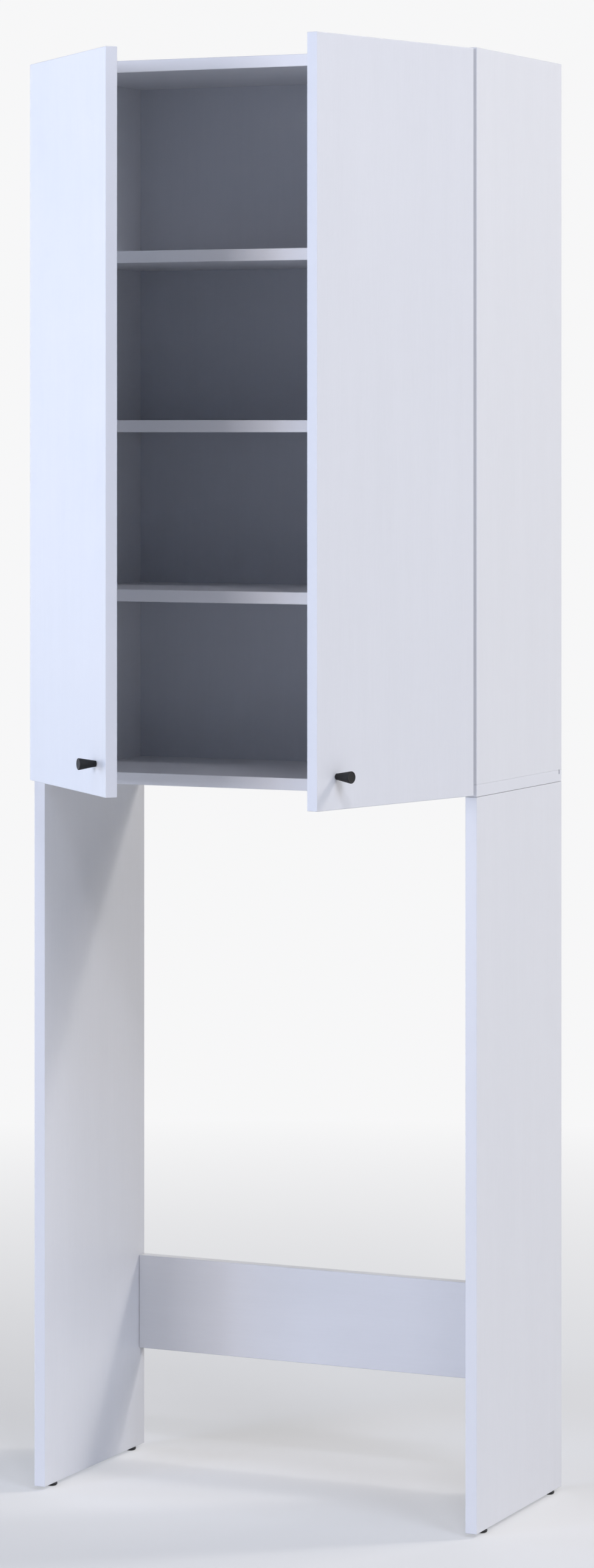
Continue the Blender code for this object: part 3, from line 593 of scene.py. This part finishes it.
def surface(name, points, material, axis_place=None, axis_way=None):
    """A closed piece from a grid of points, whose rows are rings round an axis.

    Each point joins the next one on its ring and the two beside them on the next ring to one
    face. The first and last rows are single poles, joined to their neighbour ring by triangles.
    Where a way is given, the grid's Z is laid along it and its origin put at the axis place.
    """
    rows, columns, _ = points.shape
    ring = points[1:-1].reshape(-1, 3)
    poles = np.stack([points[0, 0], points[-1, 0]])
    verts = np.concatenate([ring, poles])
    if axis_way is not None:
        verts = turn_to(verts, axis_way) + np.asarray(axis_place)
    count = len(ring)
    step = np.arange(columns)
    after = (step + 1) % columns
    start = np.arange(rows - 3)[:, None] * columns
    beside = start + columns
    quads = np.stack([start + step, start + after, beside + after, beside + step], axis=-1)
    first = np.stack([np.full(columns, count), after, step], axis=-1)
    last_row = (rows - 3) * columns
    last = np.stack([np.full(columns, count + 1), last_row + step, last_row + after], axis=-1)
    corners = np.concatenate([quads.reshape(-1), first.reshape(-1), last.reshape(-1)]).astype(np.int32)
    sizes = np.concatenate([np.full(quads.shape[0] * columns, 4), np.full(2 * columns, 3)])
    starts = np.concatenate([[0], np.cumsum(sizes)[:-1]]).astype(np.int32)
    mesh = bpy.data.meshes.new(name)
    mesh.vertices.add(len(verts))
    mesh.vertices.foreach_set("co", verts.astype(np.float32).reshape(-1))
    mesh.loops.add(len(corners))
    mesh.loops.foreach_set("vertex_index", corners)
    mesh.polygons.add(len(starts))
    mesh.polygons.foreach_set("loop_start", starts)
    mesh.update(calc_edges=True)
    mesh.validate()
    outward(mesh)
    finished(mesh, material, TURNED_CREASE)
    return into_scene(name, mesh)


def outward(mesh):
    """Turns a closed mesh's faces to point out."""
    shape = bmesh.new()
    shape.from_mesh(mesh)
    bmesh.ops.recalc_face_normals(shape, faces=shape.faces)
    shape.to_mesh(mesh)
    shape.free()


def turn_to(points, way):
    """Turns points so that their Z runs along the unit vector given."""
    turn = Vector((0.0, 0.0, 1.0)).rotation_difference(Vector(way)).to_matrix()
    return points @ np.array(turn).T


def along_profile(profile, count):
    """A profile of (radius, height) corners with points added evenly along its length.

    The length run up to each corner is the sum of the legs before it, and both coordinates of a
    new point lie on a straight line between the corners on either side of it.
    """
    profile = np.asarray(profile, float)
    legs = np.linalg.norm(np.diff(profile, axis=0), axis=1)
    run = np.concatenate([[0.0], np.cumsum(legs)])
    at = np.union1d(np.linspace(0.0, run[-1], count), run)
    return np.stack([np.interp(at, run, profile[:, 0]), np.interp(at, run, profile[:, 1])], axis=-1)


def fillet(corner, before, after, radius, steps=5):
    """Points of a small round at a corner of a profile, a quadratic curve between its tangents."""
    corner, before, after = (np.asarray(p, float) for p in (corner, before, after))
    enter = corner + (before - corner) * radius / np.linalg.norm(before - corner)
    leave = corner + (after - corner) * radius / np.linalg.norm(after - corner)
    t = np.linspace(0.0, 1.0, steps)[:, None]
    return (1 - t) ** 2 * enter + 2 * t * (1 - t) * corner + t ** 2 * leave


def rounded_profile(section):
    """The profile of a section given as rows of radius, height and the round at that corner."""
    corners, rounds = section[:, :2], section[:, 2]
    points = [corners[:1]]
    for i in range(1, len(corners) - 1):
        if rounds[i] > 0:
            points.append(fillet(corners[i], corners[i - 1], corners[i + 1], rounds[i]))
        else:
            points.append(corners[i:i + 1])
    points.append(corners[-1:])
    return np.concatenate(points)


def spun(profile, columns):
    """Grid of a profile carried round Z: x and y are its radius times the cosine and sine of the
    turn, and z is its height."""
    angle = np.linspace(0.0, FULL_TURN, columns, endpoint=False)
    radius, height = profile[:, 0][:, None], profile[:, 1][:, None]
    return np.stack([radius * np.cos(angle), radius * np.sin(angle), height + 0 * angle], axis=-1)


# Knobs

KNOB_LENGTH = 0.024
KNOB_BASE_RADIUS = 0.0039
KNOB_FRONT_RADIUS = 0.0077
KNOB_BORE_RADIUS = 0.0023
KNOB_BORE_END = 0.0123
DISH_RADIUS = KNOB_FRONT_RADIUS * 0.72
DISH_DEPTH = 0.0005
# Radius, height above the door and round of each corner, from the dish in the front over the rim
# and down the cone to the bore for the screw
KNOB_SECTION = np.array([
    (0.0, KNOB_LENGTH - DISH_DEPTH, 0.0),
    (DISH_RADIUS, KNOB_LENGTH - 0.8 * DISH_DEPTH, 0.0003),
    (DISH_RADIUS + 0.0008, KNOB_LENGTH, 0.0003),
    (KNOB_FRONT_RADIUS, KNOB_LENGTH, 0.0009),
    (KNOB_FRONT_RADIUS - 0.0003, KNOB_LENGTH - 0.0026, 0.0012),
    (KNOB_BASE_RADIUS + 0.0002, 0.0022, 0.0008),
    (KNOB_BASE_RADIUS, JOINT_GAP, 0.0003),
    (KNOB_BORE_RADIUS, JOINT_GAP, 0.0002),
    (KNOB_BORE_RADIUS, KNOB_BORE_END, 0.0),
    (0.0, KNOB_BORE_END, 0.0),
])
KNOB_ROWS, KNOB_COLUMNS = 70, 72


def make_knobs(material):
    """Slim cones with a rolled rim and a shallow dish: the section's radius is carried round the
    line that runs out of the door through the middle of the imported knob's front."""
    profile = along_profile(rounded_profile(KNOB_SECTION), KNOB_ROWS)
    for side in SIDES:
        way = door_way(side)
        points = corners_of(frame["nodes"]["knob_" + side].data)
        run = points @ way
        front = points[run > run.max() - FLAT]
        seat = (front.max(axis=0) + front.min(axis=0)) / 2 - way * KNOB_LENGTH
        knob = surface("turned_knob_" + side, spun(profile, KNOB_COLUMNS), material, seat, way)
        stand_in(knob, "knob_" + side, "door_" + side)


# Glides

NAIL_RADIUS = 0.0011
GLIDE_HEIGHT = 0.0047
GLIDE_TOP = 0.86
GLIDE_SHOULDER = 0.0012
GLIDE_FOOT = 0.0016
GLIDE_ROWS = GLIDE_COLUMNS = 48


def glide_section(radius, nail_tip):
    """Radius, height and round of a glide's corners, from the nail's point down to the foot."""
    return np.array([
        (0.0, nail_tip, 0.0),
        (NAIL_RADIUS, nail_tip - NAIL_RADIUS, 0.0004),
        (NAIL_RADIUS, GLIDE_HEIGHT, 0.0),
        (radius * GLIDE_TOP, GLIDE_HEIGHT, 0.0006),
        (radius, GLIDE_HEIGHT - GLIDE_SHOULDER, 0.0006),
        (radius, GLIDE_FOOT, 0.0012),
        (radius - GLIDE_FOOT, 0.0, 0.0012),
        (0.0, 0.0, 0.0),
    ])


def make_glides(material):
    """Domed glides: a section with a soft shoulder and a nail, carried round the upright line
    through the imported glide's middle."""
    for side in SIDES:
        for end in ENDS:
            node = f"glide_{side}_{end}"
            low, high = box_of(node)
            middle = (low + high) / 2
            section = glide_section((high[0] - low[0]) / 2, high[2])
            profile = along_profile(rounded_profile(section), GLIDE_ROWS)
            points = spun(profile, GLIDE_COLUMNS) + np.array([middle[0], middle[1], 0.0])
            stand_in(surface("moulded_" + node, points, material), node, "cabinet")


# Screws

# Head's radius, head's height and shank's radius
HINGE_SCREW = (0.0034, 0.0016, 0.0017)
KNOB_SCREW = (0.0042, 0.0022, 0.0020)
# Shares of the head's radius: how far its crown reaches, how far the cross's arms reach from the
# middle, and half their width
CROWN_REACH, CROSS_ARM, CROSS_WIDTH = 0.86, 0.60, 0.17
# Shares of the head's height: how far the crown falls, how high its side ends, the round there,
# how deep the cross is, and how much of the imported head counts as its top
CROWN_FALL, SIDE_END, SIDE_ROUND, CROSS_DEPTH, HEAD_TOP = 0.35, 0.55, 0.3, 0.62, 0.2
# The cross's walls and arm ends slope over these shares of its half width and its reach
WALL_SLOPE, ARM_SLOPE = 0.5, 0.25
# The thread's rise in one turn and the length of the plain point, and then shares of the shank's
# radius: the ridge's height and how deep the core lies. The ridge reaches its share of the rise
# to either side
THREAD_RISE, POINT_LENGTH = 0.0014, 0.0022
RIDGE_HEIGHT, CORE_DEPTH, RIDGE_REACH = 0.14, 0.07, 0.22
CROWN_ROWS, THREAD_ROWS, SCREW_COLUMNS = 22, 60, 48


def screw_grid(head_radius, head_height, shank, reach):
    """Grid of a pan-head screw, with z up out of the head and its underside at nought.

    The crown falls by the fourth power of its radius. A cross of two bars is cut into it, whose
    depth at a point is the product of two clipped slopes, one across the nearer bar and one to
    the arms' ends. The shank's radius is its core plus a ridge: the ridge's height falls evenly
    on both sides of the line where height over the thread's rise plus the turn is a whole and a half.
    """
    top = np.linspace(0.0, head_radius * CROWN_REACH, CROWN_ROWS)
    crown = head_height - CROWN_FALL * head_height * (top / head_radius) ** 4
    side = rounded_profile(np.array([
        (head_radius * CROWN_REACH, crown[-1], 0.0),
        (head_radius, head_height * SIDE_END, head_height * SIDE_ROUND),
        (head_radius, 0.0, 0.0),
        (shank, 0.0, 0.0),
    ]))
    body_z = np.linspace(0.0, POINT_LENGTH - reach, THREAD_ROWS)[1:]
    body = np.stack([np.full_like(body_z, shank), body_z], axis=-1)
    profile = np.concatenate([np.stack([top, crown], axis=-1), side[1:], body, [[0.0, -reach]]])
    grid = spun(profile, SCREW_COLUMNS)
    x, y = grid[:CROWN_ROWS, :, 0], grid[:CROWN_ROWS, :, 1]
    arm, width = head_radius * CROSS_ARM, head_radius * CROSS_WIDTH
    across = np.minimum(np.abs(x), np.abs(y))
    along = np.maximum(np.abs(x), np.abs(y))
    wall = np.clip((width - across) / (width * WALL_SLOPE), 0, 1)
    arm_end = np.clip((arm - along) / (arm * ARM_SLOPE), 0, 1)
    grid[:CROWN_ROWS, :, 2] -= wall * arm_end * head_height * CROSS_DEPTH
    start = CROWN_ROWS + len(side) - 1
    thread = slice(start, start + len(body_z))
    angle = np.linspace(0.0, FULL_TURN, SCREW_COLUMNS, endpoint=False)
    phase = (grid[thread, :, 2] / THREAD_RISE + angle / FULL_TURN) % 1.0
    ridge = np.maximum(0.0, 1 - np.abs(phase - 0.5) / RIDGE_REACH) * RIDGE_HEIGHT
    grid[thread, :, :2] *= (1 - CORE_DEPTH + ridge)[:, :, None]
    return grid


def replace_screw(node, way, sizes, material, body):
    """Puts a detailed screw where the plain one is: its length is read along its own way."""
    head_radius, head_height, shank = sizes
    points = corners_of(frame["nodes"][node].data)
    run = points @ way
    length = run.max() - run.min()
    head = points[run > run.max() - head_height * HEAD_TOP]
    seat = (head.max(axis=0) + head.min(axis=0)) / 2
    seat = seat + way * (run.max() - head_height - seat @ way)
    grid = screw_grid(head_radius, head_height, shank, length - head_height)
    stand_in(surface("cross_" + node, grid, material, seat, way), node, body)


def make_screws(material):
    """Detailed screws in place of the plain ones of the hinges and knobs."""
    for hinge, side in HINGES:
        inward = np.array([-1.0 if side == "right" else 1.0, 0.0, 0.0])
        for word in ("plate_screw_top", "plate_screw_bottom", "clamp_screw"):
            replace_screw(f"{hinge}_{word}", inward, HINGE_SCREW, material, "cabinet")
        for word in ("cup_screw_top", "cup_screw_bottom"):
            replace_screw(f"{hinge}_{word}", -door_way(side), HINGE_SCREW, material, "door_" + side)
    for side in SIDES:
        replace_screw("knob_screw_" + side, -door_way(side), KNOB_SCREW, material, "door_" + side)


# Pressed steel of the hinges

CUP_ROUND, ARM_ROUND, PLATE_ROUND = 0.00012, 0.00016, 0.00018


def softened_copy(node, material, body, width):
    """A merged copy of a packed steel piece with a small round on its edges."""
    mesh = merged_copy(node, "pressed_" + node)
    finished(mesh, material, STEEL_CREASE)
    piece = into_scene("pressed_" + node, mesh)
    edges = piece.modifiers.new("Edges", "BEVEL")
    edges.width = width
    edges.segments = 2
    edges.limit_method = "ANGLE"
    edges.angle_limit = STEEL_CREASE
    edges.harden_normals = False
    stand_in(piece, node, body)


def make_hinges(steel, pin_steel):
    """Cups, arms and plates with softened edges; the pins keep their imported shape."""
    for hinge, side in HINGES:
        softened_copy(hinge + "_cup", steel, "door_" + side, CUP_ROUND)
        softened_copy(hinge + "_arm", steel, "cabinet", ARM_ROUND)
        softened_copy(hinge + "_plate", steel, "cabinet", PLATE_ROUND)
        dress(hinge + "_pin", pin_steel)


# Floor and background

PALE = (0.93, 0.93, 0.935, 1.0)
FLOOR_COLOUR = (0.74, 0.74, 0.745)
FLOOR_ROUGH = 0.75
FLOOR_CLOUD_SCALE, FLOOR_CLOUD = 3.0, 0.985
FLOOR_START, FLOOR_REACH = 0.6, 24.0
FLOOR_RINGS, FLOOR_COLUMNS = 18, 64
# How far from the middle the floor's fade starts and ends, and its least share
FADE_START, FADE_END, FADE_LEAST = 0.7, 3.4, 0.35


def seen_directly(tree):
    """One for the rays of the camera, gloss and clear glass, and nought for the others."""
    rays = put(tree, "ShaderNodeLightPath").outputs
    mirrored = math_node(tree, "MAXIMUM", rays["Is Glossy Ray"], rays["Is Transmission Ray"])
    return math_node(tree, "MAXIMUM", rays["Is Camera Ray"], mirrored)


def make_floor():
    """A pale floor in flat rings: x and y are the radius times the angle's cosine and sine.

    The camera and gloss see it fade into the background with the distance from the cabinet,
    and near the cabinet it keeps its shadow.
    """
    rings = np.geomspace(FLOOR_START, FLOOR_REACH, FLOOR_RINGS)
    radius = np.concatenate([[0.0], rings])[:, None]
    angle = np.linspace(0.0, FULL_TURN, FLOOR_COLUMNS, endpoint=False)
    x, y = radius * np.cos(angle), radius * np.sin(angle)
    mesh = bpy.data.meshes.new("studio_floor")
    rows, columns = x.shape
    verts = np.stack([x, y, np.zeros_like(x)], axis=-1).reshape(-1, 3)
    step = np.arange(columns)
    after = (step + 1) % columns
    start = np.arange(1, rows - 1)[:, None] * columns
    beyond = start + columns
    quads = np.stack([start + step, beyond + step, beyond + after, start + after], axis=-1)
    fan = np.stack([np.zeros(columns, int), columns + step, columns + after], axis=-1)
    mesh.from_pydata(verts.tolist(), [], quads.reshape(-1, 4).tolist() + fan.tolist())
    floor = into_scene("studio_floor", mesh)
    material, tree, shader, place = new_material("pale_floor")
    tone = spread(tree, noise(tree, place, FLOOR_CLOUD_SCALE, detail=4.0), FLOOR_CLOUD, 1.0)
    tree.links.new(scaled(tree, FLOOR_COLOUR, tone), shader.inputs["Base Color"])
    shader.inputs["Roughness"].default_value = FLOOR_ROUGH
    away = put(tree, "ShaderNodeVectorMath", {0: place}, operation="LENGTH").outputs["Value"]
    fade = remap(tree, away, FADE_START, FADE_END, FADE_LEAST, 1.0)
    seen = math_node(tree, "MULTIPLY", fade, seen_directly(tree))
    glow = put(tree, "ShaderNodeEmission", {"Color": PALE, "Strength": 1.0})
    blend = put(tree, "ShaderNodeMixShader", {0: seen, 1: shader.outputs[0], 2: glow.outputs[0]})
    tree.links.new(blend.outputs[0], tree.nodes["Material Output"].inputs["Surface"])
    mesh.materials.append(material)


def make_world():
    """A pale background that only the camera and gloss see: the soft boxes alone give the light."""
    world = bpy.data.worlds.new("studio")
    bpy.context.scene.world = world
    world.use_nodes = True
    tree = world.node_tree
    tree.nodes.clear()
    pale = put(tree, "ShaderNodeBackground", {"Color": PALE, "Strength": seen_directly(tree)})
    put(tree, "ShaderNodeOutputWorld", {"Surface": pale.outputs[0]})


# Light

# Soft boxes, each turned to the cabinet's middle: place, size, watts, colour
MIDDLE = (0.0, 0.15, 1.0)
SOFT_BOXES = {
    "right_rear_key": ((4.50, 3.45, 5.50), 0.7, 99.0, (1.00, 0.97, 0.93)),
    "right_front_key": ((2.20, -3.30, 5.50), 0.7, 55.0, (0.89, 0.89, 1.00)),
    "left_front_key": ((-2.20, -3.30, 5.50), 0.7, 21.0, (0.54, 0.71, 1.00)),
    "left_rear_low": ((-8.63, 2.46, 2.07), 3, 48.0, (1.00, 0.93, 0.96)),
    "left_low": ((-8.90, -0.63, 2.07), 3, 272.0, (0.57, 0.73, 1.00)),
    "left_front_low": ((-5.13, -7.17, 2.07), 3, 204.0, (0.60, 0.73, 1.00)),
    "front_left_low": ((-3.06, -8.25, 2.07), 3, 238.0, (0.94, 0.92, 1.00)),
    "front_high": ((0.00, -6.54, 7.02), 3, 27.0, (1.00, 0.82, 0.81)),
    "right_front_high": ((6.09, -3.36, 6.62), 3, 160.0, (0.66, 0.78, 1.00)),
    "right_low": ((8.90, -0.63, 2.07), 3, 115.0, (0.92, 0.93, 1.00)),
    "right_rear_high": ((4.97, 5.12, 6.62), 3, 206.0, (1.00, 0.93, 0.86)),
    "right_front_mid": ((7.24, -4.03, 4.34), 3, 149.0, (0.90, 0.90, 1.00)),
}


def make_lights():
    """Large soft boxes round the cabinet."""
    for name, (place, size, watts, colour) in SOFT_BOXES.items():
        lamp = bpy.data.lights.new("softbox_" + name, "AREA")
        lamp.shape = "SQUARE"
        lamp.size = size
        lamp.energy = watts
        lamp.color = colour
        holder = into_scene("softbox_" + name, lamp)
        holder.location = place
        holder.rotation_euler = (Vector(MIDDLE) - Vector(place)).to_track_quat("-Z", "Y").to_euler()


# Camera: place in metres, turn about Z in degrees, lens and sensor in millimetres, and the frame's
# shift down as a share of its longer side
CAMERA_PLACE = (2.5544, -5.3628, 1.4149)
CAMERA_TURN = 24.85
CAMERA_LENS = 104.49
CAMERA_SENSOR = 36.0
CAMERA_SHIFT = -0.2252


def make_camera():
    """Level camera to the right of the front, with the photograph's long lens and low crop."""
    camera = bpy.data.cameras.new("photo_camera")
    camera.lens = CAMERA_LENS
    camera.sensor_width = CAMERA_SENSOR
    camera.sensor_fit = "AUTO"
    camera.shift_y = CAMERA_SHIFT
    camera.clip_start = 0.1
    camera.clip_end = 100.0
    holder = into_scene("photo_camera", camera)
    holder.location = CAMERA_PLACE
    holder.rotation_euler = (QUARTER, 0.0, math.radians(CAMERA_TURN))
    bpy.context.scene.camera = holder


def main():
    """Dresses the cabinet and sets up the studio round it."""
    make_boards()
    make_knobs(plastic_material("charcoal_plastic", CHARCOAL, grain=1800.0, low=0.54, high=0.66))
    make_glides(plastic_material("black_plastic", BLACK, grain=1200.0, low=0.38, high=0.50))
    make_screws(steel_material("bright_zinc", ZINC, low=0.24, high=0.34))
    make_hinges(steel_material("nickel_plate", NICKEL, low=0.24, high=0.30),
                steel_material("drawn_steel", STEEL, low=0.18, high=0.25))
    make_floor()
    make_world()
    make_lights()
    make_camera()
    bpy.context.scene.view_settings.view_transform = "Standard"


main()
